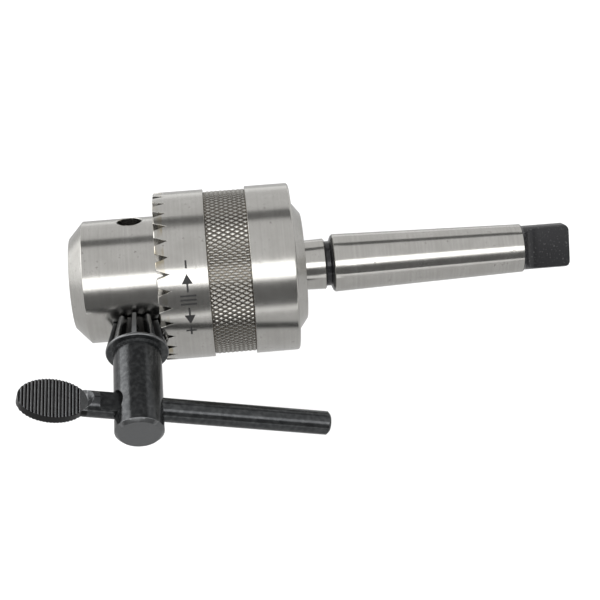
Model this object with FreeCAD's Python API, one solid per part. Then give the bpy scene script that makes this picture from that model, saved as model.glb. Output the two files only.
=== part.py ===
import FreeCAD, Part
import math
import os

# Keyed three-jaw drill chuck on a Morse-taper arbor, with its chuck key in one pilot hole.
# Millimetres.  Origin: centre of the gauge plane of the Morse taper, on the chuck axis.
# +X runs from the nose of the chuck to the tang of the arbor, +Z is up, and the key
# comes out along -Y.  The jaws are drawn fully open, the sleeve turn then being zero.

os.makedirs("parts", exist_ok=True)

V = FreeCAD.Vector

# ---------------------------------------------------------------- fits and clearances
RUN = 0.05                   # radial clearance of every running fit
END = 0.10                   # axial clearance beside a thrust face
FLANK = 0.25                 # clearance beside each thread flank
REACH = 1.0                  # how far a cutting shape runs past the surface it cuts

# ---------------------------------------------------------------- Morse taper no. 3
MT_GAUGE_DIA = 23.825        # diameter in the gauge plane
MT_TAPER = 0.0502            # change of diameter per millimetre
MT_LEAD = 5.0                # gauge plane to the large end
MT_SMALL_AT = 74.0           # gauge plane to the small end
MT_TANG_END = 94.0           # gauge plane to the end of the tang
TANG_DIA = 18.5
TANG_THICK = 7.9
TANG_FLAT = 13.0             # length of the two flats
TANG_RUNOUT = 7.0            # radius the cutter leaves at the end of a flat
TANG_CORNER = 3.0            # rounding of the free corners of the tang
TANG_EDGE = 0.9              # width of the bevel along the flats
TANG_BREAK = 35.0            # slope of that bevel, degrees
TANG_TURN = 49.0             # the flats turned about the chuck axis, degrees
MT_EDGE = 0.8                # bevel at the large end

# ---------------------------------------------------------------- Jacobs taper no. 3
JT_DIA = 20.599              # diameter in the rear face of the chuck
JT_TAPER = 0.05325           # change of diameter per millimetre
JT_SEAT = 30.96              # length seated in the chuck
JT_RELIEF = 2.0              # depth of the socket beyond the arbor
ARBOR_GROOVE_WIDE = 2.4      # relief groove between the two tapers
ARBOR_GROOVE_DIA = 18.6
ARBOR_GROOVE_BEVEL = 0.8

# ---------------------------------------------------------------- stations along the axis
SLEEVE_FRONT = -77.5         # front plane of the geared sleeve
SLEEVE_LONG = 55.7
NOSE_OUT = 35.7              # nose standing out in front of the sleeve
REAR_OUT = 4.2               # rear of the body standing out behind the sleeve

# ---------------------------------------------------------------- chuck body
NOSE_DIA = 50.6
NOSE_FACE_DIA = 37.6
NOSE_BEVEL = 6.0             # length of the bevel at the nose
REAR_FACE_DIA = 43.8
REAR_CONE_DIA = 54.8         # rear cone where it passes the end of the sleeve
DRILL_BORE_DIA = 20.5
DRILL_BORE_DEEP = 46.0
BORE_EDGE = 1.0
NUT_SEAT_ROOM = 0.7          # floor of the annular seat below the bore of the nut

# ---------------------------------------------------------------- key pilot holes
HOLES = 3
PILOT_DIA = 10.0
PILOT_BACK = 10.3            # pilot-hole axis in front of the sleeve
PILOT_FLOOR = 14.5           # floor of the hole from the chuck axis
PILOT_EDGE = 0.4

# ---------------------------------------------------------------- sleeve
SLEEVE_DIA = 69.6
SLEEVE_BORE_DIA = 61.0
SLEEVE_HUB = 8.5             # length of the front hub that runs on the nose
KNURL_FROM = 20.5
KNURL_TO = 37.7
KNURL_SINK = 1.5             # depth of the band under the knurling
SLEEVE_REAR_ROUND = 1.2
SLEEVE_FRONT_EDGE = 0.4
SLEEVE_BORE_EDGE = 0.8
RING_TEETH = 32
RING_DEEP_IN = 2.5           # depth of a tooth space at the nose
RING_GROWTH = 0.296          # growth of that depth per millimetre of radius
RING_FLANK = 18.8            # flank angle of a tooth space, degrees

# ---------------------------------------------------------------- split nut
NUT_LONG = 10.0
NUT_SPLIT = 0.2              # gap where the ring is split in two
THREAD_PITCH = 3.0           # measured along the slope of the jaws
THREAD_DEEP = 1.2
THREAD_OPEN = 1.9            # width of the nut groove at its mouth
THREAD_FLOOR = 0.9           # width of the nut groove at its floor
THREAD_ROOM = 0.3            # clearance over the tips of the thread
THREAD_TURNS = 5             # turns of the groove, run out past both faces

# ---------------------------------------------------------------- jaws
JAWS = 3
JAW_BORE_DIA = 10.0
JAW_ANGLE = 15.0             # slope of the jaw bores to the chuck axis, degrees
JAW_LONG = 58.0
JAW_PROUD = 1.0              # closed jaws standing out of the nose
JAW_TIP_HIGH = 0.3           # jaw axis above the chuck axis at the closed tip
GRIP_MIN_DIA = 1.0           # smallest drill held
GRIP_MAX_DIA = 19.0          # largest drill held
GRIP_GAP = 0.1               # gap left between neighbouring closed jaws
JAW_END_EDGE = 0.6
TEETH_START = 9.0            # first jaw tooth behind the tip
JAW_END_ROOM = 0.7           # bore left free behind the open jaws

# ---------------------------------------------------------------- chuck key
KEY_TEETH = 10
KEY_GEAR_FROM = 25.6         # front of the pinion from the chuck axis
KEY_GEAR_OVER = 2.9          # pinion standing out past the outside of the sleeve
KEY_TIP_DIA_IN = 19.2
KEY_ROOT_DIA_IN = 13.6
KEY_LAND_IN = 1.4            # width of a tooth at its tip
KEY_BASE_IN = 2.5            # width of a tooth at its root
KEY_TIP_GROWTH = 0.471       # growth of each of these per millimetre along the key
KEY_ROOT_GROWTH = 0.413
KEY_LAND_GROWTH = 0.050
KEY_BASE_GROWTH = 0.083
KEY_PILOT_END = 15.5
KEY_PILOT_EDGE = 1.0
KEY_FLANGE_LIP = 0.15        # flange standing out past the tips of the teeth
KEY_FLANGE_THICK = 1.5
KEY_FLANGE_ROUND = 0.4
KEY_COLLAR_DIA = 20.3        # low step where the flange meets the body
KEY_COLLAR_LONG = 0.7
KEY_DIA = 19.3
KEY_END = 78.0               # free end of the key from the chuck axis
KEY_END_BEVEL = 1.4

# ---------------------------------------------------------------- key handle
HANDLE_AT = 65.5             # handle axis from the chuck axis
HANDLE_TURN = 16.3           # handle turned about the key axis, degrees
ROD_DIA = 9.5
ROD_LONG = 77.0              # key axis to the end of the plain rod
ROD_BEVEL = 1.0
NECK_DIA = 10.4
MOUTH_DIA = 12.4             # counterbore round the neck
MOUTH_DEEP = 2.6
NECK_END = 23.0              # key axis to the end of the round neck, inside the paddle
PADDLE_MID = 33.6            # key axis to the middle of the paddle
PADDLE_LONG = 26.8
PADDLE_WIDE = 17.8
PADDLE_THICK = 4.2
PADDLE_DRAFT = 3.4           # how far the sloping wall round the flattened oval runs out
STAKE_FROM = 15.8            # flat pressed on the neck, from the key axis
STAKE_HIGH = 2.9             # flat above the handle axis
STAKE_CORNER = 2.5           # rounding of the corners of that flat
RIBS = 18
RIB_PITCH = 1.32
RIB_DEEP = 0.45
RIB_CORNER = 45.0            # half the angle of the tool that cuts the ribs, degrees
RIB_MID = 34.9               # key axis to the middle of the ribbing

# ---------------------------------------------------------------- derived stations
MT_LARGE = -MT_LEAD
SLEEVE_REAR = SLEEVE_FRONT + SLEEVE_LONG
NOSE_FACE = SLEEVE_FRONT - NOSE_OUT
REAR_FACE = SLEEVE_REAR + REAR_OUT
KEY_X = SLEEVE_FRONT - PILOT_BACK
KEY_GEAR_TO = SLEEVE_DIA / 2 + KEY_GEAR_OVER
KEY_GEAR_LONG = KEY_GEAR_TO - KEY_GEAR_FROM
KEY_TIP_DIA_OUT = KEY_TIP_DIA_IN + KEY_TIP_GROWTH * KEY_GEAR_LONG
KEY_ROOT_DIA_OUT = KEY_ROOT_DIA_IN + KEY_ROOT_GROWTH * KEY_GEAR_LONG
KEY_LAND_OUT = KEY_LAND_IN + KEY_LAND_GROWTH * KEY_GEAR_LONG
KEY_BASE_OUT = KEY_BASE_IN + KEY_BASE_GROWTH * KEY_GEAR_LONG
KEY_FLANGE_DIA = KEY_TIP_DIA_OUT + 2 * KEY_FLANGE_LIP
KEY_SIDE = 90.0              # turn about the axis that brings +Z to the side of the key
NUT_FRONT = SLEEVE_FRONT + SLEEVE_HUB
NUT_REAR = NUT_FRONT + NUT_LONG
JAW_TILT = math.radians(JAW_ANGLE)
JAW_SLOPE = math.tan(JAW_TILT)
JAW_ALONG = V(math.cos(JAW_TILT), 0, math.sin(JAW_TILT))
JAW_TIP = V(NOSE_FACE - JAW_PROUD, 0, JAW_TIP_HIGH)
JAW_TRAVEL = (GRIP_MAX_DIA - GRIP_MIN_DIA) / 2 / math.sin(JAW_TILT)
JAW_RADIUS = JAW_BORE_DIA / 2 - RUN
AXIS_X = V(1, 0, 0)
KEY_OUT = V(0, -1, 0)


def mt_radius(x):
    return (MT_GAUGE_DIA - MT_TAPER * x) / 2


def jt_radius(x):
    return (JT_DIA + JT_TAPER * (x - REAR_FACE)) / 2


def turned(profile):
    """Solid of revolution about the chuck axis from (x, radius) corners."""
    ring = [V(x, 0, r) for x, r in profile]
    face = Part.Face(Part.makePolygon(ring + ring[:1]))
    return face.revolve(V(0, 0, 0), AXIS_X, 360)


def turned_on_key(profile):
    """Solid of revolution about the key axis from (distance, radius) corners."""
    ring = [V(KEY_X + r, -d, 0) for d, r in profile]
    face = Part.Face(Part.makePolygon(ring + ring[:1]))
    return face.revolve(V(KEY_X, 0, 0), KEY_OUT, 360)


def spun(shape, degrees):
    copy = shape.copy()
    copy.rotate(V(0, 0, 0), AXIS_X, degrees)
    return copy


def along_jaw(distance):
    """Point on the jaw axis, measured from the tip of the closed jaw."""
    return JAW_TIP + JAW_ALONG * distance


def moved(shape, offset):
    copy = shape.copy()
    copy.translate(offset)
    return copy


def between(first, second):
    """Solid with flat sides joining two polygons of the same number of corners."""
    wires = [Part.makePolygon(ring + ring[:1]) for ring in (first, second)]
    return Part.makeLoft(wires, True, True)


def save(shape, node):
    solids = shape.Solids
    solid = solids[0] if len(solids) == 1 else Part.makeCompound(solids)
    print(node, len(solids), round(solid.Volume, 1), solid.isValid())
    solid.exportStep("parts/" + node + ".step")


# ================================================================ arbor
groove_to = MT_LARGE - MT_EDGE
groove_from = groove_to - ARBOR_GROOVE_WIDE
jt_small = REAR_FACE - JT_SEAT
groove_r = ARBOR_GROOVE_DIA / 2
arbor = turned([
    (jt_small, 0),
    (jt_small, jt_radius(jt_small)),
    (groove_from - ARBOR_GROOVE_BEVEL, jt_radius(groove_from - ARBOR_GROOVE_BEVEL)),
    (groove_from, groove_r),
    (groove_to - ARBOR_GROOVE_BEVEL, groove_r),
    (groove_to, mt_radius(MT_LARGE) - MT_EDGE),
    (MT_LARGE, mt_radius(MT_LARGE)),
    (MT_SMALL_AT, mt_radius(MT_SMALL_AT)),
    (MT_SMALL_AT + MT_EDGE, TANG_DIA / 2),
    (MT_TANG_END, TANG_DIA / 2),
    (MT_TANG_END, 0),
])
flat_from = MT_TANG_END - TANG_FLAT
half_tang = TANG_DIA / 2 + REACH
for turn in (0, 180):
    slab = Part.makeBox(TANG_FLAT + REACH, 2 * half_tang, TANG_DIA,
                        V(flat_from, -half_tang, TANG_THICK / 2))
    scoop = Part.makeCylinder(TANG_RUNOUT, 2 * half_tang,
                              V(flat_from, -half_tang, TANG_THICK / 2 + TANG_RUNOUT),
                              V(0, 1, 0))
    arbor = arbor.cut(spun(slab.fuse(scoop), turn))
tang_wide = math.sqrt(TANG_DIA ** 2 - TANG_THICK ** 2) / 2
for side in (1, -1):
    for turn in (0, 180):
        edge = V(flat_from, side * tang_wide, TANG_THICK / 2)
        strip = Part.makeBox(TANG_FLAT + REACH, 2 * REACH, 2 * TANG_EDGE,
                             V(flat_from, side * tang_wide - REACH, TANG_THICK / 2))
        strip.rotate(edge, AXIS_X, -side * TANG_BREAK)
        arbor = arbor.cut(spun(strip, turn))
    block = Part.makeBox(TANG_CORNER + REACH, TANG_CORNER + REACH, TANG_DIA,
                         V(MT_TANG_END - TANG_CORNER,
                           side * (TANG_DIA / 2) - (TANG_CORNER if side > 0 else REACH),
                           -TANG_DIA / 2))
    post = Part.makeCylinder(TANG_CORNER, TANG_DIA,
                             V(MT_TANG_END - TANG_CORNER,
                               side * (TANG_DIA / 2 - TANG_CORNER), -TANG_DIA / 2))
    arbor = arbor.cut(block.cut(post))
save(spun(arbor, TANG_TURN), "arbor")

# ================================================================ thread of the jaws and nut
# The thread lies on a cone that follows the outer line of the three jaws, so a jaw tooth
# keeps its depth in the nut all along the travel.
NUT_MID = (NUT_FRONT + NUT_REAR) / 2
jaw_edge = JAW_TIP_HIGH + (NUT_MID - JAW_TIP.x) * JAW_SLOPE + JAW_RADIUS / math.cos(JAW_TILT)
nut_floor = jaw_edge + THREAD_ROOM
nut_mouth = nut_floor - THREAD_DEEP
mid_from_tip = (NUT_MID - JAW_TIP.x) / math.cos(JAW_TILT)


def mouth_radius(x):
    return nut_mouth + (x - NUT_MID) * JAW_SLOPE


# ================================================================ jaws
rod_from = -JAW_BORE_DIA
jaw = Part.makeCylinder(JAW_RADIUS, JAW_LONG - rod_from, along_jaw(rod_from), JAW_ALONG)
rear_edges = [e for e in jaw.Edges if len(e.Vertexes) == 1
              and e.CenterOfMass.distanceToPoint(along_jaw(JAW_LONG)) < JAW_RADIUS / 2]
jaw = jaw.makeChamfer(JAW_END_EDGE, rear_edges)
grip_low = GRIP_MIN_DIA / 2
fan_slope = math.tan(math.pi / JAWS)
grip_half = (grip_low - GRIP_GAP / 2) * fan_slope
fan = JAW_LONG
fan_half = grip_half + fan * fan_slope
sector = [
    V(JAW_TIP.x, -grip_half, grip_low),
    V(JAW_TIP.x, grip_half, grip_low),
    V(JAW_TIP.x, fan_half, grip_low + fan),
    V(JAW_TIP.x, -fan_half, grip_low + fan),
]
sector = Part.Face(Part.makePolygon(sector + sector[:1])).extrude(V(2 * JAW_LONG, 0, 0))
jaw = moved(jaw.common(sector), JAW_ALONG * JAW_TRAVEL)

ridge_tip = (THREAD_PITCH - THREAD_OPEN) / 2 + FLANK
ridge_base = (THREAD_PITCH - THREAD_FLOOR) / 2 + FLANK
jaw_space = turned([
    (NUT_MID - ridge_tip, mouth_radius(NUT_MID - ridge_tip) - THREAD_ROOM),
    (NUT_MID + ridge_tip, mouth_radius(NUT_MID + ridge_tip) - THREAD_ROOM),
    (NUT_MID + ridge_base, nut_floor),
    (NUT_MID + ridge_base, nut_floor + THREAD_PITCH),
    (NUT_MID - ridge_base, nut_floor + THREAD_PITCH),
    (NUT_MID - ridge_base, nut_floor),
])
first_tooth = JAW_TRAVEL + TEETH_START - mid_from_tip
last_tooth = JAW_TRAVEL + JAW_LONG - mid_from_tip
for number in range(JAWS):
    threaded = jaw.copy()
    phase = number / JAWS
    along = THREAD_PITCH * (phase + math.ceil(first_tooth / THREAD_PITCH - phase))
    while along < last_tooth:
        threaded = threaded.cut(moved(jaw_space, JAW_ALONG * along))
        along = along + THREAD_PITCH
    turn = KEY_SIDE + 360 / JAWS * (number + 0.5)
    save(spun(threaded, turn), "jaw_" + str(number + 1))

# ================================================================ split nut
run = THREAD_PITCH * THREAD_TURNS
back = -run / 2
start = NUT_MID + back * math.cos(JAW_TILT)
groove_mid = (nut_mouth + nut_floor) / 2 + back * math.sin(JAW_TILT)
helix = Part.makeHelix(THREAD_PITCH, run, groove_mid, JAW_ANGLE)
helix.rotate(V(0, 0, 0), V(0, 1, 0), 90)
helix.rotate(V(0, 0, 0), AXIS_X, 180)
helix.translate(V(start, 0, 0))
flare = (THREAD_OPEN - THREAD_FLOOR) / 2 / THREAD_DEEP * THREAD_ROOM
groove = [
    V(NUT_MID - THREAD_OPEN / 2 - flare, 0, nut_mouth - THREAD_ROOM),
    V(NUT_MID + THREAD_OPEN / 2 + flare, 0, nut_mouth - THREAD_ROOM),
    V(NUT_MID + THREAD_FLOOR / 2, 0, nut_floor),
    V(NUT_MID - THREAD_FLOOR / 2, 0, nut_floor),
]
groove = [corner + JAW_ALONG * back for corner in groove]
groove = Part.Wire(Part.makePolygon(groove + groove[:1]))
thread = Part.Wire(helix).makePipeShell([groove], True, True)
nut = turned([
    (NUT_FRONT, mouth_radius(NUT_FRONT)),
    (NUT_FRONT, SLEEVE_BORE_DIA / 2),
    (NUT_REAR, SLEEVE_BORE_DIA / 2),
    (NUT_REAR, mouth_radius(NUT_REAR)),
])
thread = spun(thread, KEY_SIDE + 180 / JAWS)
for side, turn in (("upper", 0), ("lower", 180)):
    half_space = Part.makeBox(2 * NUT_LONG, SLEEVE_DIA, SLEEVE_DIA / 2,
                              V(NUT_FRONT - NUT_LONG / 2, -SLEEVE_DIA / 2, NUT_SPLIT / 2))
    half_space = spun(half_space, turn)
    half = nut.common(half_space)
    save(half.cut(thread.common(half_space)), "nut_half_" + side)

# ================================================================ chuck body
nose_r = NOSE_DIA / 2
seat_r = mouth_radius(NUT_FRONT) - NUT_SEAT_ROOM
rear_r = SLEEVE_BORE_DIA / 2 - RUN
bore_r = DRILL_BORE_DIA / 2
cone_slope = (REAR_CONE_DIA - REAR_FACE_DIA) / 2 / REAR_OUT
cone_from = SLEEVE_REAR - (rear_r - REAR_CONE_DIA / 2) / cone_slope
bore_floor = NOSE_FACE + DRILL_BORE_DEEP
socket_floor = REAR_FACE - JT_SEAT - JT_RELIEF
body = turned([
    (bore_floor, 0),
    (bore_floor, bore_r),
    (NOSE_FACE + BORE_EDGE, bore_r),
    (NOSE_FACE, bore_r + BORE_EDGE),
    (NOSE_FACE, NOSE_FACE_DIA / 2),
    (NOSE_FACE + NOSE_BEVEL, nose_r),
    (NUT_FRONT - END, nose_r),
    (NUT_FRONT - END, seat_r),
    (NUT_REAR + END, seat_r),
    (NUT_REAR + END, rear_r),
    (cone_from, rear_r),
    (REAR_FACE, REAR_FACE_DIA / 2),
    (REAR_FACE, JT_DIA / 2),
    (jt_small, jt_radius(jt_small)),
    (socket_floor, jt_radius(jt_small)),
    (socket_floor, 0),
])
jaw_bore = Part.makeCylinder(JAW_BORE_DIA / 2,
                             JAW_LONG + JAW_TRAVEL + JAW_END_ROOM,
                             JAW_TIP, JAW_ALONG)
for number in range(JAWS):
    body = body.cut(spun(jaw_bore, KEY_SIDE + 360 / JAWS * (number + 0.5)))
pilot = Part.makeCylinder(PILOT_DIA / 2, NOSE_DIA, V(KEY_X, 0, PILOT_FLOOR), V(0, 0, 1))
mouth_at = math.sqrt(nose_r ** 2 - (PILOT_DIA / 2) ** 2)
pilot = pilot.fuse(Part.makeCone(PILOT_DIA / 2, PILOT_DIA / 2 + PILOT_EDGE + nose_r - mouth_at,
                                 PILOT_EDGE + nose_r - mouth_at,
                                 V(KEY_X, 0, mouth_at), V(0, 0, 1)))
for number in range(HOLES):
    body = body.cut(spun(pilot, KEY_SIDE + 360 / HOLES * number))
save(body, "chuck_body")

# ================================================================ geared sleeve
sleeve_r = SLEEVE_DIA / 2
hub_r = nose_r + RUN
band_r = sleeve_r - KNURL_SINK
sleeve = turned([
    (SLEEVE_FRONT, hub_r + SLEEVE_FRONT_EDGE),
    (SLEEVE_FRONT, sleeve_r - SLEEVE_FRONT_EDGE),
    (SLEEVE_FRONT + SLEEVE_FRONT_EDGE, sleeve_r),
    (SLEEVE_FRONT + KNURL_FROM, sleeve_r),
    (SLEEVE_FRONT + KNURL_FROM, band_r),
    (SLEEVE_FRONT + KNURL_TO, band_r),
    (SLEEVE_FRONT + KNURL_TO, sleeve_r),
    (SLEEVE_REAR, sleeve_r),
    (SLEEVE_REAR, SLEEVE_BORE_DIA / 2 + SLEEVE_BORE_EDGE),
    (SLEEVE_REAR - SLEEVE_BORE_EDGE, SLEEVE_BORE_DIA / 2),
    (NUT_FRONT, SLEEVE_BORE_DIA / 2),
    (NUT_FRONT, hub_r),
    (SLEEVE_FRONT + SLEEVE_FRONT_EDGE, hub_r),
])
rim = [e for e in sleeve.Edges
       if len(e.Vertexes) == 1 and abs(e.Vertexes[0].X - SLEEVE_REAR) < RUN
       and e.BoundBox.ZMax > sleeve_r - RUN]
sleeve = sleeve.makeFillet(SLEEVE_REAR_ROUND, rim)


def ring_space(radius):
    """Triangle across one tooth space at this radius, opening forwards."""
    deep = RING_DEEP_IN + (radius - hub_r) * RING_GROWTH
    half = (deep + REACH) * math.tan(math.radians(RING_FLANK))
    return [
        V(SLEEVE_FRONT - REACH, -half, radius),
        V(SLEEVE_FRONT - REACH, half, radius),
        V(SLEEVE_FRONT + deep, 0, radius),
    ]


space = between(ring_space(hub_r - REACH), ring_space(sleeve_r + REACH))
ring_pitch = 360 / RING_TEETH
for number in range(RING_TEETH):
    sleeve = sleeve.cut(spun(space, KEY_SIDE + ring_pitch * (number + 0.5)))
save(sleeve, "sleeve")

# ================================================================ chuck key
key = turned_on_key([
    (KEY_PILOT_END, 0),
    (KEY_PILOT_END, PILOT_DIA / 2 - RUN - KEY_PILOT_EDGE),
    (KEY_PILOT_END + KEY_PILOT_EDGE, PILOT_DIA / 2 - RUN),
    (KEY_GEAR_FROM, PILOT_DIA / 2 - RUN),
    (KEY_GEAR_FROM, KEY_ROOT_DIA_IN / 2),
    (KEY_GEAR_TO, KEY_ROOT_DIA_OUT / 2),
    (KEY_GEAR_TO, KEY_FLANGE_DIA / 2 - KEY_FLANGE_ROUND),
    (KEY_GEAR_TO + KEY_FLANGE_ROUND, KEY_FLANGE_DIA / 2),
    (KEY_GEAR_TO + KEY_FLANGE_THICK - KEY_FLANGE_ROUND, KEY_FLANGE_DIA / 2),
    (KEY_GEAR_TO + KEY_FLANGE_THICK, KEY_FLANGE_DIA / 2 - KEY_FLANGE_ROUND),
    (KEY_GEAR_TO + KEY_FLANGE_THICK, KEY_COLLAR_DIA / 2),
    (KEY_GEAR_TO + KEY_FLANGE_THICK + KEY_COLLAR_LONG, KEY_COLLAR_DIA / 2),
    (KEY_GEAR_TO + KEY_FLANGE_THICK + KEY_COLLAR_LONG, KEY_DIA / 2),
    (KEY_END - KEY_END_BEVEL, KEY_DIA / 2),
    (KEY_END, KEY_DIA / 2 - KEY_END_BEVEL),
    (KEY_END, 0),
])


def tooth_face(distance, root_dia, tip_dia, base, land):
    """Section of one pinion tooth, rooted a little inside the cone of the roots."""
    root = root_dia / 2
    sunk = base + (base - land) / (tip_dia / 2 - root) * REACH
    return [
        V(KEY_X + root - REACH, -distance, -sunk / 2),
        V(KEY_X + root - REACH, -distance, sunk / 2),
        V(KEY_X + tip_dia / 2, -distance, land / 2),
        V(KEY_X + tip_dia / 2, -distance, -land / 2),
    ]


tooth = between(
    tooth_face(KEY_GEAR_FROM, KEY_ROOT_DIA_IN, KEY_TIP_DIA_IN, KEY_BASE_IN, KEY_LAND_IN),
    tooth_face(KEY_GEAR_TO, KEY_ROOT_DIA_OUT, KEY_TIP_DIA_OUT, KEY_BASE_OUT, KEY_LAND_OUT))
for number in range(KEY_TEETH):
    turned_tooth = tooth.copy()
    turned_tooth.rotate(V(KEY_X, 0, 0), KEY_OUT, 360 / KEY_TEETH * (number + 0.5))
    key = key.fuse(turned_tooth)
key = key.removeSplitter()


def on_handle(shape):
    """Place a shape drawn along X at the origin on the handle axis."""
    placed = shape.copy()
    placed.rotate(V(0, 0, 0), V(0, 1, 0), HANDLE_TURN)
    placed.translate(V(KEY_X, -HANDLE_AT, 0))
    return placed


mouth_from = KEY_DIA / 2 - MOUTH_DEEP
cross_hole = Part.makeCylinder(ROD_DIA / 2, 2 * KEY_DIA, V(-KEY_DIA, 0, 0), AXIS_X)
mouth = Part.makeCylinder(MOUTH_DIA / 2, KEY_DIA, V(-mouth_from, 0, 0), V(-1, 0, 0))
key = key.cut(on_handle(cross_hole.fuse(mouth)))
save(key, "key_body")

# ================================================================ key handle
handle = turned([
    (-NECK_END, 0),
    (-NECK_END, NECK_DIA / 2),
    (-mouth_from, NECK_DIA / 2),
    (-mouth_from, ROD_DIA / 2),
    (ROD_LONG - ROD_BEVEL, ROD_DIA / 2),
    (ROD_LONG, ROD_DIA / 2 - ROD_BEVEL),
    (ROD_LONG, 0),
])


def oval(height, grow):
    """Outline of the paddle at this height, grown all round."""
    ellipse = Part.Ellipse(V(-PADDLE_MID, 0, height), PADDLE_LONG / 2 + grow,
                           PADDLE_WIDE / 2 + grow)
    return Part.Wire(ellipse.toShape())


punch = Part.makeLoft([oval(PADDLE_THICK / 2, 0),
                       oval(PADDLE_THICK / 2 + NECK_DIA / 2, PADDLE_DRAFT)], True, True)
paddle = Part.Face(oval(-PADDLE_THICK / 2, 0)).extrude(V(0, 0, PADDLE_THICK))
handle = handle.cut(punch).cut(spun(punch, 180)).fuse(paddle)
stake = Part.makeBox(STAKE_FROM - mouth_from + REACH, NECK_DIA, NECK_DIA,
                     V(-STAKE_FROM, -NECK_DIA / 2, STAKE_HIGH))
corners = [e for e in stake.Edges
           if e.BoundBox.XMax < RUN - STAKE_FROM and e.BoundBox.ZLength > NECK_DIA / 2]
handle = handle.cut(stake.makeFillet(STAKE_CORNER, corners))
rib_tool = RIB_DEEP * math.sqrt(2)        # square tool that cuts with its corner
for side in (1, -1):
    for number in range(RIBS):
        rib_x = -RIB_MID + (number - (RIBS - 1) / 2) * RIB_PITCH
        rib = Part.makeBox(rib_tool, PADDLE_WIDE + 2 * REACH, rib_tool,
                           V(0, -PADDLE_WIDE / 2 - REACH, 0))
        rib.rotate(V(0, 0, 0), V(0, 1, 0), RIB_CORNER)
        rib.translate(V(rib_x - RIB_DEEP, 0, side * PADDLE_THICK / 2))
        handle = handle.cut(rib)
handle = handle.removeSplitter()
save(on_handle(handle), "key_handle")
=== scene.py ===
import math

import bmesh
import bpy
from mathutils import Matrix, Vector


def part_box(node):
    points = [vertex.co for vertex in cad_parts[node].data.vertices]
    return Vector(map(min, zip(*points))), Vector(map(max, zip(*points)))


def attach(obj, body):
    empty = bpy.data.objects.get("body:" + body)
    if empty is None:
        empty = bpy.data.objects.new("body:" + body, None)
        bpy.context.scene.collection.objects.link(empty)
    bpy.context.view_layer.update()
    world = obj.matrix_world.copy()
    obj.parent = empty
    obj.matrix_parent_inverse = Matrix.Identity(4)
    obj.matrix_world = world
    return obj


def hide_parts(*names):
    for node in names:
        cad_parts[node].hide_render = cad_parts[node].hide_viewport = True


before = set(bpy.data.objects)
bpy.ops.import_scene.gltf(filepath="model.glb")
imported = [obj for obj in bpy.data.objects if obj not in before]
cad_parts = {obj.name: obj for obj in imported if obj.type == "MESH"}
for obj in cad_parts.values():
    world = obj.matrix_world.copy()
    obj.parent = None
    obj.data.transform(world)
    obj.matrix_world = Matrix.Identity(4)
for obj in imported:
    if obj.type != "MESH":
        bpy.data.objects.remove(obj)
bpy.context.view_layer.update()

# %% [markdown]
# # A keyed drill chuck on a Morse-taper arbor
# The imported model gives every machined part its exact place.  This lesson keeps those
# places, breaks the sharp edges the way a fitter's file does, cuts the diamond knurl
# into the sleeve, etches a mark on it and gives each metal its finish.
# All lengths are in metres.  The chuck lies along X with its nose at the low end, Z is
# up and the key comes out along -Y.

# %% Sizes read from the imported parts
MM = 0.001
print("parts:", sorted(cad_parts))
sleeve_low, sleeve_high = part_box("sleeve")
SLEEVE_FRONT = sleeve_low.x
SLEEVE_REAR = sleeve_high.x
SLEEVE_RADIUS = (sleeve_high.z - sleeve_low.z) / 2
print("sleeve from", round(SLEEVE_FRONT, 4), "to", round(SLEEVE_REAR, 4),
      "radius", round(SLEEVE_RADIUS, 4))

# %% [markdown]
# ## Shader maths as plain Python
# A finish is easier to read as a sum than as a picture of wires.  One small class wraps
# a socket, so that an expression such as `1 - mask` adds its Math node by itself, and
# one method adds every other kind of node.


# %% A socket that can be used in sums
class Wire:
    """One output socket of a node tree."""

    def __init__(self, tree, socket):
        self.tree = tree
        self.socket = socket

    def node(self, kind, settings=None, inputs=None, output=0):
        """Adds a node, sets it up, then gives its sockets values or links."""
        added = self.tree.nodes.new(kind)
        for name, value in (settings or {}).items():
            setattr(added, name, value)
        for name, value in (inputs or {}).items():
            if isinstance(value, Wire):
                self.tree.links.new(value.socket, added.inputs[name])
            else:
                added.inputs[name].default_value = value
        return Wire(self.tree, added.outputs[output])

    def math(self, operation, first, second=None):
        values = {0: first, 1: second}
        values = {place: value for place, value in values.items() if value is not None}
        return self.node("ShaderNodeMath", {"operation": operation}, values)

    def __add__(self, other):
        return self.math("ADD", self, other)

    def __radd__(self, other):
        return self.math("ADD", other, self)

    def __sub__(self, other):
        return self.math("SUBTRACT", self, other)

    def __rsub__(self, other):
        return self.math("SUBTRACT", other, self)

    def __mul__(self, other):
        return self.math("MULTIPLY", self, other)

    def __rmul__(self, other):
        return self.math("MULTIPLY", other, self)

    def __pow__(self, other):
        return self.math("POWER", self, other)

    def rise(self, low, high):
        """0 below low, 1 above high, smooth between."""
        return self.node("ShaderNodeMapRange", {"interpolation_type": "SMOOTHSTEP"},
                         {"Value": self, "From Min": low, "From Max": high})

    def blend(self, off, on):
        """The colour off where this mask is 0 and the colour on where it is 1."""
        return self.node("ShaderNodeMix", {"data_type": "RGBA"},
                         {"Factor": self, "A": off, "B": on}, output="Result")


print("wires can be added, subtracted, multiplied and raised to powers")

# %% [markdown]
# ## Where on the chuck a point lies
# Everything on the chuck is turned about one axis, so a finish needs only two lengths:
# how far along the axis a point is and how far out.  Their sum grows along a turned
# cylinder and across a faced end alike, and so one pattern gives tool marks on both.


# %% The two lengths of a turned part
def start_finish(name):
    """(material, its shader, object position) of a new, empty finish."""
    material = bpy.data.materials.new(name + "_finish")
    material.use_nodes = True
    tree = material.node_tree
    shader = tree.nodes["Principled BSDF"]
    seed = Wire(tree, None)
    return material, shader, seed.node("ShaderNodeTexCoord", output="Object")


def parts_of(vector):
    """The X, Y and Z of a vector wire."""
    split = vector.tree.nodes.new("ShaderNodeSeparateXYZ")
    vector.tree.links.new(vector.socket, split.inputs[0])
    return [Wire(vector.tree, split.outputs[name]) for name in "XYZ"]


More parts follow.
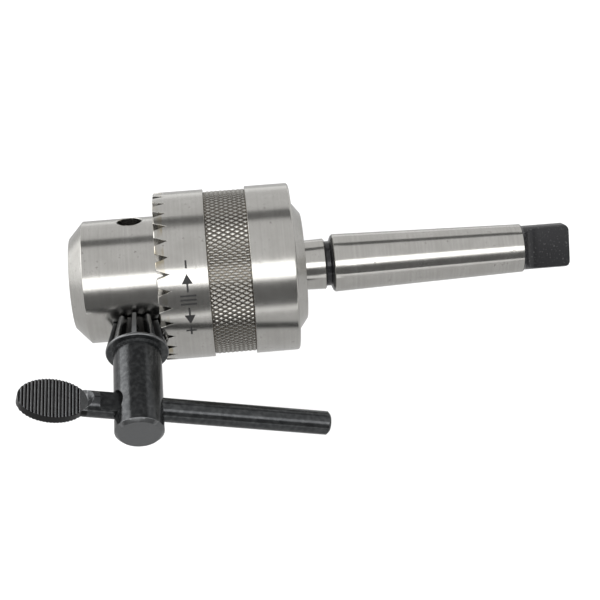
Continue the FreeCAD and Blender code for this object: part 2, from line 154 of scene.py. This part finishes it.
def along_and_out(place):
    """Length along the chuck axis, and distance from it."""
    x, y, z = parts_of(place)
    return x, (y * y + z * z) ** 0.5


def noise(place, scale, detail=2.0, dimensions="3D"):
    source = "W" if dimensions == "1D" else "Vector"
    return place.node("ShaderNodeTexNoise", {"noise_dimensions": dimensions},
                      {source: place, "Scale": scale, "Detail": detail})


def connect(wire, shader, name):
    wire.tree.links.new(wire.socket, shader.inputs[name])


def bumped(shader, height, depth):
    """Feeds a height map of that depth in metres to the shader's normal."""
    normal = height.node("ShaderNodeBump", None,
                         {"Height": height, "Distance": depth, "Strength": 1.0})
    connect(normal, shader, "Normal")


print("finishes read object positions")

# %% [markdown]
# ## Turned, ground and knurled steel
# The real steel is bare and bright.  A lathe leaves rings that catch the light in fine
# streaks, the teeth of the sleeve keep the straw colour of the heat that hardened them,
# and oil and dirt stay in the bottom of the knurling and in the undercut of the arbor.

# %% Turned steel
WORN_OXIDE = (0.11, 0.11, 0.11, 1)
STEEL = (0.565, 0.555, 0.53, 1)
DIM_STEEL = (0.48, 0.47, 0.445, 1)
PIT = (0.22, 0.205, 0.18, 1)
OXIDE = (0.026, 0.026, 0.028, 1)


def steel_surface(name, roughness, ring_depth):
    """A turned steel with rings; gives back what a caller needs to add to it."""
    material, shader, place = start_finish(name)
    along, out = along_and_out(place)
    rings = noise(along + out, scale=900, detail=3.0, dimensions="1D")
    fine = noise(along + out, scale=5200, dimensions="1D")
    stain = noise(place, scale=140, detail=4.0)
    clean = (rings * 0.35 + stain * 0.65 - 0.20).rise(0.05, 0.6).blend(DIM_STEEL, STEEL)
    pits = noise(place, scale=650, detail=5.0).rise(0.62, 0.74) * stain.rise(0.4, 0.6)
    colour = (pits * 0.6).blend(clean, PIT)
    shader.inputs["Metallic"].default_value = 1.0
    connect(fine * 0.06 + stain * 0.06 + (roughness - 0.06), shader, "Roughness")
    bumped(shader, fine, ring_depth)
    return material, shader, place, along, out, colour


turned_steel, shader, place, along, out, colour = steel_surface("turned_steel", 0.19, 1.2e-6)
connect(colour, shader, "Base Color")
print("made", turned_steel.name)

# %% [markdown]
# ## The arbor
# The tapers are ground after hardening.  The tang and the undercut are not, so they keep
# the black skin of the heat treatment, rubbed through in specks.  One mask along the
# axis tells the two apart, which needs no cut in the mesh.

# %% Ground steel of the arbor, with the black tang and undercut
BLACK_FROM = 73.8 * MM
GROOVE_FROM = -8.5 * MM
GROOVE_TO = -5.25 * MM
EDGE = 0.12 * MM

ground_steel, shader, place, along, out, colour = steel_surface("ground_steel", 0.16, 0.6e-6)
tang = along.rise(BLACK_FROM - EDGE, BLACK_FROM + EDGE)
groove = along.rise(GROOVE_FROM - EDGE, GROOVE_FROM + EDGE) * (
    1 - along.rise(GROOVE_TO - EDGE, GROOVE_TO + EDGE))
dark = tang + groove
worn = noise(place, scale=1300, detail=4.0).rise(0.58, 0.74)
connect(dark.blend(colour, worn.blend(OXIDE, WORN_OXIDE)), shader, "Base Color")
connect(1 - dark * 0.6, shader, "Metallic")
print("made", ground_steel.name)

# %% [markdown]
# ## The sleeve
# Its teeth are hardened by a flame and keep a straw tint, the tooth spaces get a painted
# shade, and dirt settles in the knurling.  Each is a mask on the two lengths.

# %% Steel of the sleeve, straw-tinted teeth, painted shade in the tooth spaces and dirt in the knurling
TINT_LONG = 4.0 * MM
STRAW = (0.40, 0.345, 0.235, 1)
NOTCH_DEEP = 5.6 * MM
# Grey of the painted shade in the tooth spaces.
NOTCH_SHADE = (0.16, 0.155, 0.145, 1)
DIRT = (0.10, 0.086, 0.064, 1)
KNURL_CREST = SLEEVE_RADIUS - 1.0 * MM
KNURL_VALLEY = SLEEVE_RADIUS - 1.6 * MM
KNURL_FROM = SLEEVE_FRONT + 20.5 * MM
KNURL_TO = SLEEVE_FRONT + 37.7 * MM

sleeve_steel, shader, place, along, out, colour = steel_surface("sleeve_steel", 0.19, 1.2e-6)
from_front = along - SLEEVE_FRONT
patches = noise(place, scale=90).rise(0.42, 0.62)
tint = (1 - from_front.rise(TINT_LONG * 0.85, TINT_LONG)) * patches
tinted = (tint * 0.8).blend(colour, STRAW)
band = along.rise(KNURL_FROM - EDGE, KNURL_FROM) * (1 - along.rise(KNURL_TO, KNURL_TO + EDGE))
deep = band * (1 - out.rise(KNURL_VALLEY, KNURL_CREST - 0.1 * MM))
# The tooth spaces, inside the outer surface near the front, are painted darker: painted shade.
notch = (1 - from_front.rise(NOTCH_DEEP, NOTCH_DEEP + EDGE)) * (
    1 - out.rise(SLEEVE_RADIUS - 0.6 * MM, SLEEVE_RADIUS - 0.2 * MM)) * from_front.rise(0, EDGE)
notch_shaded = (notch * 0.8).blend(tinted, NOTCH_SHADE)
connect(deep.blend(notch_shaded, DIRT), shader, "Base Color")
print("made", sleeve_steel.name)

# %% [markdown]
# ## Black oxide of the key
# The key is steel blacked in hot salts: a thin dark skin that still reflects like metal
# but dimly and softly, so it is a metal with a very dark colour and not a black paint.
# The tips of the pinion, the rim of the flange and the free end are painted lighter, as
# skin rubbed thin and as painted highlight, and the spaces between the teeth are painted
# nearly black as shade.  The pinion is a cone, so the depth below its tips is worked out
# from the distance to the axis of the key.

# %% Black oxide, rubbed and painted highlight on the tips, painted shade between the teeth
BLACK = (0.045, 0.047, 0.049, 1)
RUBBED = (0.085, 0.088, 0.09, 1)
# Near black, used as painted shade between the teeth and the ribs, and as the ink of the etch.
SHADE_AND_ETCH_BLACK = (0.012, 0.012, 0.012, 1)
FADED_SOOT = (0.03, 0.03, 0.03, 1)
# Light grey for tips, rims and rib tops: rubbed skin and painted highlight.
RUBBED_HIGHLIGHT = (0.17, 0.173, 0.176, 1)
key_low, key_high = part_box("key_body")
KEY_X = (key_low.x + key_high.x) / 2
PINION_FROM = 25.6 * MM
PINION_TO = 37.6 * MM
TIP_RADIUS = 9.6 * MM
TIP_SLOPE = 0.2355
RIM_FROM = 12.1 * MM
END_FROM = 76.4 * MM


def black_surface(name):
    """Blacked steel; gives back its colour, worn in specks, for a caller to add to."""
    material, shader, place = start_finish(name)
    speck = noise(place, scale=600, detail=3.0)
    shader.inputs["Metallic"].default_value = 0.8
    connect(speck * 0.12 + 0.13, shader, "Roughness")
    bumped(shader, speck, 2e-6)
    return material, shader, place, speck.rise(0.35, 0.75).blend(BLACK, RUBBED)


black_oxide, shader, place, colour = black_surface("black_oxide")
x, y, z = parts_of(place)
radius = ((x - KEY_X) * (x - KEY_X) + z * z) ** 0.5
below_tip = TIP_RADIUS + (-1 * y - PINION_FROM) * TIP_SLOPE - radius
pinion = (-1 * y).rise(PINION_FROM - EDGE, PINION_FROM) * (
    1 - (-1 * y).rise(PINION_TO, PINION_TO + EDGE))
# The spaces between the teeth are painted nearly black: painted shade.
space = pinion * below_tip.rise(0.5 * MM, 1.4 * MM)
tips = pinion * (1 - below_tip.rise(0.05 * MM, 0.4 * MM))
rim = radius.rise(RIM_FROM, RIM_FROM + 3 * EDGE)
end = (-1 * y).rise(END_FROM, END_FROM + EDGE) * 0.7
# Tips, flange rim and free end are painted lighter: rubbed skin and painted highlight.
rubbed_and_highlit = tips.math("MINIMUM", tips + rim + end, 1.0)
connect(space.blend(rubbed_and_highlit.blend(colour, RUBBED_HIGHLIGHT), SHADE_AND_ETCH_BLACK), shader, "Base Color")
print("made", black_oxide.name, "round the axis at", round(KEY_X, 4))

# %% [markdown]
# ## The handle
# The ribs of the paddle are painted bright, as rubbing by thumbs and as painted highlight,
# and the grooves are painted black as shade.  The handle is turned about the key, so a
# Mapping node brings its points back to its own axes first.

# %% Black oxide of the handle, painted highlight on the ribs and painted shade between them
HANDLE_TURN = math.radians(16.3)
HANDLE_Y = -65.5 * MM
FLAT_HIGH = 2.1 * MM
PADDLE_FROM = -20.5 * MM

handle_oxide, shader, place, colour = black_surface("handle_oxide")
own = place.node("ShaderNodeMapping", {"vector_type": "TEXTURE"},
                 {"Vector": place, "Location": (KEY_X, HANDLE_Y, 0), "Rotation": (0, HANDLE_TURN, 0)})
x, y, z = parts_of(own)
height = z.math("ABSOLUTE", z)
paddle = 1 - x.rise(PADDLE_FROM, PADDLE_FROM + 4 * EDGE)
# Grooves between the ribs: painted shade.
groove = paddle * (1 - height.rise(FLAT_HIGH - 0.32 * MM, FLAT_HIGH - 0.12 * MM))
# Tops of the ribs: painted highlight, with rubbing.
land = paddle * height.rise(FLAT_HIGH - 0.12 * MM, FLAT_HIGH - 0.02 * MM) * 0.9
connect(groove.blend(land.blend(colour, RUBBED_HIGHLIGHT), SHADE_AND_ETCH_BLACK), shader, "Base Color")
print("made", handle_oxide.name, "turned", round(HANDLE_TURN, 3), "radians")

# %% [markdown]
# ## The steels inside and the etch
# The jaws are hardened and ground darker, and the nut is plain machined steel; both use
# the turned steel again with a rougher surface.  The etch is a dull black stain with no
# thickness to speak of.

# %% Jaw steel, nut steel and etch
JAW_GREY = (0.6, 0.6, 0.6, 1)

jaw_steel, shader, place, along, out, colour = steel_surface("jaw_steel", 0.3, 1e-6)
connect(colour.node("ShaderNodeMix", {"data_type": "RGBA", "blend_type": "MULTIPLY"},
                    {"Factor": 1.0, "A": colour, "B": JAW_GREY}, output="Result"),
        shader, "Base Color")

nut_steel, shader, place, along, out, colour = steel_surface("nut_steel", 0.34, 3e-6)
connect(colour, shader, "Base Color")

etch_black, shader, place = start_finish("etch_black")
shader.inputs["Roughness"].default_value = 0.6
connect(noise(place, scale=900).blend(SHADE_AND_ETCH_BLACK, FADED_SOOT), shader, "Base Color")
print("made", jaw_steel.name, nut_steel.name, etch_black.name)

# %% [markdown]
# ## Breaking the edges
# No real edge is a perfect corner, and the thin bright line along each one is what makes
# steel look like steel.  Each part is copied, its loose triangles are joined, flat
# pieces of the same face are made one, and every corner sharper than 35 degrees gets a
# small round.  A Bevel modifier would do it too, but the loose triangles have to be
# joined first, and both fit in one bmesh.

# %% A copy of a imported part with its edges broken
SHARP = math.radians(35)
FLAT = math.radians(0.4)
WELD = 1e-6


def joined_copy(node):
    """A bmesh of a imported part, its triangles joined at their corners."""
    mesh = bmesh.new()
    mesh.from_mesh(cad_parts[node].data)
    bmesh.ops.remove_doubles(mesh, verts=mesh.verts, dist=WELD)
    bmesh.ops.dissolve_limit(mesh, angle_limit=FLAT, verts=mesh.verts, edges=mesh.edges)
    return mesh


def break_edges(mesh, width):
    corners = [edge for edge in mesh.edges
               if edge.is_manifold and edge.calc_face_angle(0) > SHARP]
    bmesh.ops.bevel(mesh, geom=corners, offset=width, offset_type="OFFSET", segments=2,
                    profile=0.5, affect="EDGES", clamp_overlap=False, material=-1)


def add_piece(mesh, name, material, body):
    """Turns a bmesh into a piece of the chuck that rides on one body."""
    data = bpy.data.meshes.new(name)
    mesh.to_mesh(data)
    mesh.free()
    data.materials.append(material)
    data.shade_smooth()
    data.set_sharp_from_angle(angle=SHARP)
    piece = bpy.data.objects.new(name, data)
    bpy.context.scene.collection.objects.link(piece)
    shading = piece.modifiers.new("flat faces stay flat", "WEIGHTED_NORMAL")
    shading.keep_sharp = True
    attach(piece, body)
    print(name, len(data.vertices), "corners", len(data.polygons), "faces")
    return piece


for node, body, slot, material, width in (
        ("chuck_body", "chuck", "turned_steel", turned_steel, 0.15 * MM),
        ("arbor", "chuck", "ground_steel", ground_steel, 0.08 * MM),
        ("key_body", "key", "black_oxide", black_oxide, 0.15 * MM),
        ("key_handle", "key", "black_oxide", handle_oxide, 0.06 * MM)):
    part = joined_copy(node)
    break_edges(part, width)
    piece = add_piece(part, "finished_" + node, material, body)
    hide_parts(node)

# %% [markdown]
# ## The knurl
# Two hard wheels with slanting grooves are pressed on the turning sleeve and leave two
# sets of crossing grooves, with a small diamond between them.  A displacement map would
# only move a fine mesh; here the fine mesh is made at once.  A flat grid is pushed down
# along the two families of lines, wrapped round the axis and closed behind into a ring.

# %% The knurl
STARTS = 102                    # grooves side by side in each of the two sets
STEPS = 8                       # mesh steps from one groove to the next
HELIX = math.radians(30)
KNURL_SINK = 0.60 * MM
KNURL_ROOT = SLEEVE_RADIUS - 2.2 * MM


def diamond(round_turns, along_turns):
    """Height of the knurl, 1 at the point of a diamond and 0 in the grooves."""
    first = abs((round_turns + along_turns + 0.5) % 1 - 0.5)
    second = abs((round_turns - along_turns + 0.5) % 1 - 0.5)
    return min(0.9, 2 * min(first, second)) / 0.9


def knurl_band():
    """A closed ring with diamonds on its outside."""
    step = 2 * math.pi * KNURL_CREST / STARTS / STEPS / math.tan(HELIX)
    rows = int((KNURL_TO - KNURL_FROM) / step)
    mesh = bmesh.new()
    bmesh.ops.create_grid(mesh, x_segments=STARTS * STEPS, y_segments=rows, size=0.5)
    for corner in mesh.verts:
        turn = corner.co.x + 0.5
        row = (corner.co.y + 0.5) * rows
        radius = KNURL_CREST - KNURL_SINK * (1 - diamond(turn * STARTS, row / STEPS))
        if row < 0.5 or row > rows - 0.5:
            radius = KNURL_CREST - KNURL_SINK
        angle = 2 * math.pi * turn
        reach = KNURL_FROM + (corner.co.y + 0.5) * (KNURL_TO - KNURL_FROM)
        corner.co = (reach, radius * math.cos(angle), radius * math.sin(angle))
    bmesh.ops.remove_doubles(mesh, verts=mesh.verts, dist=WELD)
    rims = [edge for edge in mesh.edges if edge.is_boundary]
    wall = bmesh.ops.extrude_edge_only(mesh, edges=rims)["geom"]
    inner = [item for item in wall if isinstance(item, bmesh.types.BMVert)]
    for corner in inner:
        outwards = Vector((0, corner.co.y, corner.co.z)).normalized()
        corner.co = Vector((corner.co.x, 0, 0)) + outwards * KNURL_ROOT
    rims = [edge for edge in mesh.edges if edge.is_boundary]
    bmesh.ops.bridge_loops(mesh, edges=rims)
    bmesh.ops.recalc_face_normals(mesh, faces=mesh.faces)
    return mesh


band = knurl_band()
band_data = bpy.data.meshes.new("band")
band.to_mesh(band_data)
band.free()
part = joined_copy("sleeve")
break_edges(part, 0.15 * MM)
part.from_mesh(band_data)
bpy.data.meshes.remove(band_data)
piece = add_piece(part, "finished_sleeve", sleeve_steel, "sleeve")
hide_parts("sleeve")

# %% [markdown]
# ## The mark on the sleeve
# The sleeve is etched by acid through a stencil.  The mark is generic: which way opens
# and which way closes the jaws.  A picture could carry it, but strokes keep their crisp
# ends at any distance, so each is a small grid, laid flat and wrapped on the cylinder.

# %% The etched mark
MARK_RADIUS = SLEEVE_RADIUS + 0.005 * MM
MARK_AT = SLEEVE_FRONT + 12.0 * MM
MARK_TOP = math.radians(59)
STROKE = 0.75
HEAD = 4.4
# Each stroke: place along the mark, place across it, length, width, turn in degrees and
# taper, all lengths in millimetres.
STROKES = [
    (1.6, 0.0, 3.2, STROKE, 0, 0),
    (7.4, 0.0, 4.0, HEAD, 180, 1), (11.0, 0.0, 3.4, STROKE, 0, 0),
    (14.2, 0.0, 6.4, STROKE, 90, 0), (15.9, 0.0, 6.4, STROKE, 90, 0),
    (17.6, 0.0, 6.4, STROKE, 90, 0),
    (20.8, 0.0, 3.4, STROKE, 0, 0), (24.4, 0.0, 4.0, HEAD, 0, 1),
    (29.8, 0.0, 4.2, STROKE, 0, 0), (29.8, 1.23, 1.7, STROKE, 90, 0),
    (29.8, -1.23, 1.7, STROKE, 90, 0),
]


def etched_mark():
    """Strokes laid flat, then wrapped round the sleeve."""
    mesh = bmesh.new()
    for place, across, length, width, turn, taper in STROKES:
        lay = (Matrix.Translation((place * MM, across * MM, 0))
               @ Matrix.Rotation(math.radians(turn), 4, "Z")
               @ Matrix.Diagonal((length * MM, width * MM, 1, 1)))
        stroke = bmesh.ops.create_grid(mesh, x_segments=8, y_segments=2, size=0.5)["verts"]
        for corner in stroke:
            corner.co.y *= 1 - taper * (corner.co.x + 0.5)
            corner.co = lay @ corner.co
    bmesh.ops.remove_doubles(mesh, verts=mesh.verts, dist=WELD)
    for corner in mesh.verts:
        angle = MARK_TOP - corner.co.x / SLEEVE_RADIUS
        reach = MARK_AT + corner.co.y
        corner.co = (reach, -MARK_RADIUS * math.cos(angle), MARK_RADIUS * math.sin(angle))
    bmesh.ops.solidify(mesh, geom=mesh.faces, thickness=0.03 * MM)
    bmesh.ops.recalc_face_normals(mesh, faces=mesh.faces)
    return mesh


add_piece(etched_mark(), "sleeve_mark", etch_black, "sleeve")

# %% [markdown]
# ## The nut and the jaws
# They sit inside and show only through the bore of the nose or when the jaws come out.
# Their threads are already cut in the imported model, so their meshes stay as they are and
# only take a steel of their own.

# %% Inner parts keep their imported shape
for node, slot, material in (
        ("nut_half_upper", "nut_steel", nut_steel),
        ("nut_half_lower", "nut_steel", nut_steel),
        ("jaw_1", "jaw_steel", jaw_steel),
        ("jaw_2", "jaw_steel", jaw_steel),
        ("jaw_3", "jaw_steel", jaw_steel)):
    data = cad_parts[node].data
    data.materials.clear()
    data.materials.append(material)
print("inner parts finished")

# %% [markdown]
# ## Floor, light and cards
# Bare metal shows the room more than itself.  A long softbox over the front gives the
# white band along every cylinder, black cards beside it give the dark bands that make the
# metal read as round, and a grey sheet keeps the undersides from going white.  The cards
# are seen only in the metal, so the floor stays plain and pale.  The floor lies low enough
# for the handle to swing right round as the key is turned.

# %% Floor, light and cards
def stage_material(name, colour, emission):
    material, shader, place = start_finish(name)
    shader.inputs["Base Color"].default_value = colour
    shader.inputs["Roughness"].default_value = 0.9
    shader.inputs["Emission Color"].default_value = (1, 1, 1, 1)
    shader.inputs["Emission Strength"].default_value = emission
    return material


def stage_plane(name, material, centre, facing, size):
    mesh = bmesh.new()
    turn = Vector(facing).to_track_quat("Z", "Y").to_matrix().to_4x4()
    lay = Matrix.Translation(centre) @ turn @ Matrix.Diagonal((size[0], size[1], 1, 1))
    bmesh.ops.create_grid(mesh, x_segments=1, y_segments=1, size=0.5, matrix=lay)
    data = bpy.data.meshes.new(name)
    mesh.to_mesh(data)
    mesh.free()
    data.materials.append(material)
    plane = bpy.data.objects.new(name, data)
    bpy.context.scene.collection.objects.link(plane)
    return plane


HANDLE_SWING = 82 * MM          # reach of the handle as the key turns
FLOOR = -HANDLE_SWING - 2 * MM
MIDDLE = Vector((-0.01, -0.02, 0.0))       # point that the lights and cards face
stage_plane("floor", stage_material("floor_white", (0.90, 0.90, 0.90, 1), 0.20),
            (0, 0, FLOOR), (0, 0, 1), (8, 8))


def only_reflected(card):
    """Lets a card be seen in the metal and nowhere else."""
    card.visible_camera = False
    card.visible_diffuse = False
    card.visible_shadow = False


def around(degrees, reach):
    """Point round the chuck: 0 is towards -Y, 90 is up, 180 is towards +Y."""
    angle = math.radians(degrees)
    return MIDDLE + Vector((0, -reach * math.cos(angle), reach * math.sin(angle)))


card_black = stage_material("card_black", (0.02, 0.02, 0.02, 1), 0.11)
for name, degrees, size in (("front_card", 15.5, (2.6, 0.64)),
                            ("high_card", 127, (1.3, 0.27))):
    centre = around(degrees, 1.0)
    only_reflected(stage_plane(name, card_black, centre, MIDDLE - centre, size))
only_reflected(stage_plane("grey_sheet", stage_material("sheet_grey", (0.02, 0.02, 0.02, 1), 0.55),
                           (0, -0.05, FLOOR + 0.1 * MM), (0, 0, 1), (2.0, 0.9)))


def softbox(name, centre, size, radiance):
    data = bpy.data.lights.new(name, "AREA")
    data.shape = "RECTANGLE"
    data.size, data.size_y = size
    data.energy = radiance * math.pi * size[0] * size[1]
    lamp = bpy.data.objects.new(name, data)
    lamp.location = centre
    lamp.rotation_euler = (centre - MIDDLE).to_track_quat("Z", "Y").to_euler()
    lamp.visible_camera = False
    bpy.context.scene.collection.objects.link(lamp)
    return lamp


softbox("key_light", around(47.5, 1.1), (2.4, 0.42), 2.1)
softbox("left_light", MIDDLE + Vector((-1.0, 0.35, 0.5)), (0.8, 1.0), 2.4)
world = bpy.data.worlds.new("studio")
bpy.context.scene.world = world
world.use_nodes = True
world.node_tree.nodes["Background"].inputs["Color"].default_value = (1, 1, 1, 1)
world.node_tree.nodes["Background"].inputs["Strength"].default_value = 0.76
bpy.context.scene.view_settings.view_transform = "Standard"
print("stage set")

# %% [markdown]
# ## The camera
# A long lens from above the front keeps the cylinders nearly parallel.  The camera is
# aimed by three turns, then moved so that the front of the sleeve keeps its place.

# %% The camera
ELEVATION = math.radians(51)
YAW = 0.048
ROLL = 0.081
LENS = 87.49
AIM = Vector((SLEEVE_FRONT, 0, 0))
AIM_AT = Vector((-58.214, -9.668, 606.206)) * MM    # right, down and ahead of the camera

side = Vector((1, 0, 0))
upward = Vector((0, math.sin(ELEVATION), math.cos(ELEVATION)))
toward = Vector((0, -math.cos(ELEVATION), math.sin(ELEVATION)))
level = math.cos(YAW) * side + math.sin(YAW) * toward
right = math.cos(ROLL) * level - math.sin(ROLL) * upward
up = math.sin(ROLL) * level + math.cos(ROLL) * upward
ahead = math.sin(YAW) * side - math.cos(YAW) * toward
location = AIM - AIM_AT.x * right + AIM_AT.y * up - AIM_AT.z * ahead

camera_data = bpy.data.cameras.new("camera")
camera_data.lens = LENS
camera_data.sensor_width = 36
camera = bpy.data.objects.new("camera", camera_data)
camera.matrix_world = Matrix((
    (right.x, up.x, -ahead.x, location.x),
    (right.y, up.y, -ahead.y, location.y),
    (right.z, up.z, -ahead.z, location.z),
    (0, 0, 0, 1)))
bpy.context.scene.collection.objects.link(camera)
bpy.context.scene.camera = camera
print("camera at", [round(value, 4) for value in location])
